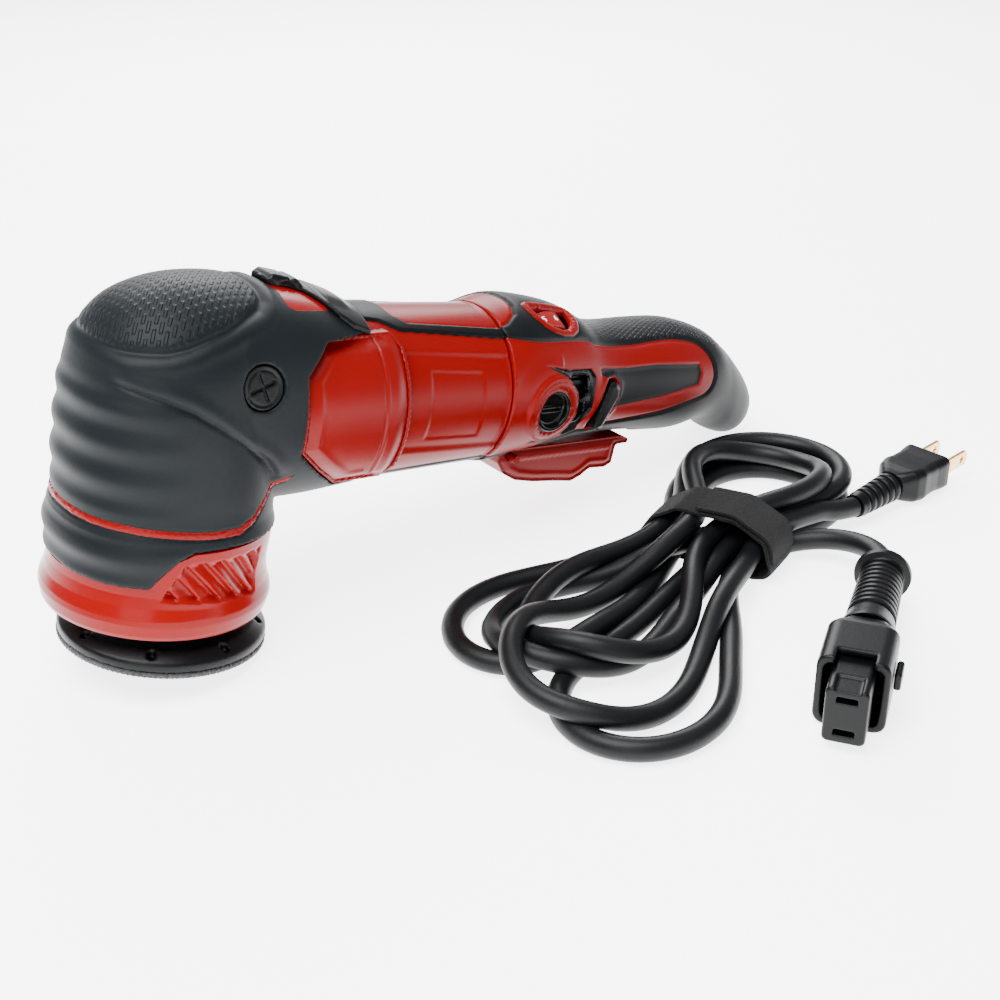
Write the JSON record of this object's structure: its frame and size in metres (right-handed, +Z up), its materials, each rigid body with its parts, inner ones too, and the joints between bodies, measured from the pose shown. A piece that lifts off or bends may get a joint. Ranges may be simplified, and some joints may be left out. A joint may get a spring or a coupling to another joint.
{
  "type": "dual action polisher",
  "caption": "Hand-held dual action polisher with a round orbiting pad, rubber-booted angle head, slim handle with paddle trigger and speed wheel, and its strapped mains lead.",
  "frame": {"origin": "centre of the tool's own footprint, on the surface that it stands on", "axes": "+X from the pad head towards the tail, +Z up, +Y to the tool's left; the tool leans back on the rear edge of its pad and the heel of its tail"},
  "size_m": [0.3536, 0.2318, 0.1293],
  "materials": {
    "core_steel": "dark steel",
    "bearing_steel": "ground steel",
    "black_plastic": "black moulded plastic",
    "grip_rubber": "black grip rubber",
    "carbon": "pressed carbon",
    "copper": "copper",
    "cord_jacket": "black rubber jacket",
    "strap_fabric": "black woven hook-and-loop tape",
    "cast_alloy": "as cast",
    "red_gloss": "glossy moulded red",
    "red_plastic": "satin moulded red",
    "boot_rubber": "soft blue-black rubber with moulded texture",
    "hook_fabric": "dark grey hook fabric",
    "brass": "polished brass"
  },
  "bodies": {
    "tool": {"belly_cover": "black_plastic", "boot_cap_left": "grip_rubber", "boot_cap_right": "grip_rubber", "brush_cap_left": "black_plastic", "brush_cap_right": "black_plastic", "carbon_brush_left": "carbon", "carbon_brush_right": "carbon", "connector_grip": "black_plastic", "connector_hood": "black_plastic", "contact_block": "black_plastic", "cord_hank": "cord_jacket", "cord_strap": "strap_fabric", "cord_to_connector": "cord_jacket", "cord_to_plug": "cord_jacket", "dial_bezel": "red_gloss", "front_bearing": "bearing_steel", "gear_cover": "cast_alloy", "gear_housing": "cast_alloy", "handle_shell_left": "red_plastic", "handle_shell_right": "red_plastic", "head_boot": "boot_rubber", "inlet_pin_left": "brass", "inlet_pin_right": "brass", "lower_band": "boot_rubber", "motor_housing": "red_plastic", "neck_clip": "grip_rubber", "pad_shroud": "red_gloss", "plug_blade_left": "brass", "plug_blade_right": "brass", "plug_body": "black_plastic", "plug_relief": "black_plastic", "rear_bearing": "bearing_steel", "side_panel_left": "red_plastic", "side_panel_right": "red_plastic", "spindle_bearing_lower": "bearing_steel", "spindle_bearing_upper": "bearing_steel", "stator": "core_steel", "switch": "black_plastic", "tail_cap": "grip_rubber", "top_grip": "grip_rubber", "trigger_pin": "bearing_steel", "trim_ring": "red_gloss", "vent_insert_left": "black_plastic", "vent_insert_right": "black_plastic"},
    "armature": {"armature_shaft": "bearing_steel", "armature_core": "core_steel", "commutator": "copper", "cooling_fan": "black_plastic", "drive_pinion": "core_steel"},
    "spindle": {"spindle": "bearing_steel", "bevel_gear": "core_steel", "counterweight": "cast_alloy", "eccentric_bearing": "bearing_steel"},
    "pad": {"backing_plate": "black_plastic", "hook_disc": "hook_fabric", "plate_screw": "bearing_steel"},
    "trigger": {"trigger": "red_plastic"},
    "lock_button": {"lock_button": "black_plastic"},
    "dial": {"speed_dial": "red_plastic"},
    "latch": {"connector_latch": "black_plastic"}
  },
  "joints": [
    {"name": "armature_spin", "type": "hinge", "parent": "tool", "child": "armature", "pos_m": [-0.02003, 0, 0.06788], "axis": [0.9789, 0, -0.2044], "continuous": true},
    {"name": "spindle_spin", "type": "hinge", "parent": "tool", "child": "spindle", "pos_m": [-0.11232, 0, 0.06621], "axis": [0.2044, 0, 0.9789], "continuous": true},
    {"name": "pad_spin", "type": "hinge", "parent": "spindle", "child": "pad", "pos_m": [-0.12029, -0.00353, 0.01884], "axis": [0.2044, 0, 0.9789], "continuous": true},
    {"name": "trigger_pull", "type": "hinge", "parent": "tool", "child": "trigger", "pos_m": [0.02187, 0, 0.03125], "axis": [0, -1, 0], "range_deg": [0, 5], "stiffness_Nm_per_rad": 1, "springref_deg": -8.59},
    {"name": "lock_press", "type": "slide", "parent": "tool", "child": "lock_button", "axis": [0, 1, 0], "range_m": [0, 0.0025], "stiffness_N_per_m": 400, "springref_m": -0.002},
    {"name": "dial_turn", "type": "hinge", "parent": "tool", "child": "dial", "pos_m": [0.04068, -0.00932, 0.07487], "axis": [0.0972, 0.8796, 0.4656], "range_deg": [-225, 45]},
    {"name": "latch_slide", "type": "slide", "parent": "tool", "child": "latch", "axis": [0.8453, 0.5344, 0], "range_m": [0, 0.003], "stiffness_N_per_m": 400, "springref_m": -0.002}
  ],
  "couplings": [
    {"joint": "spindle_spin", "follows": "armature_spin", "ratio": 0.33333}
  ]
}
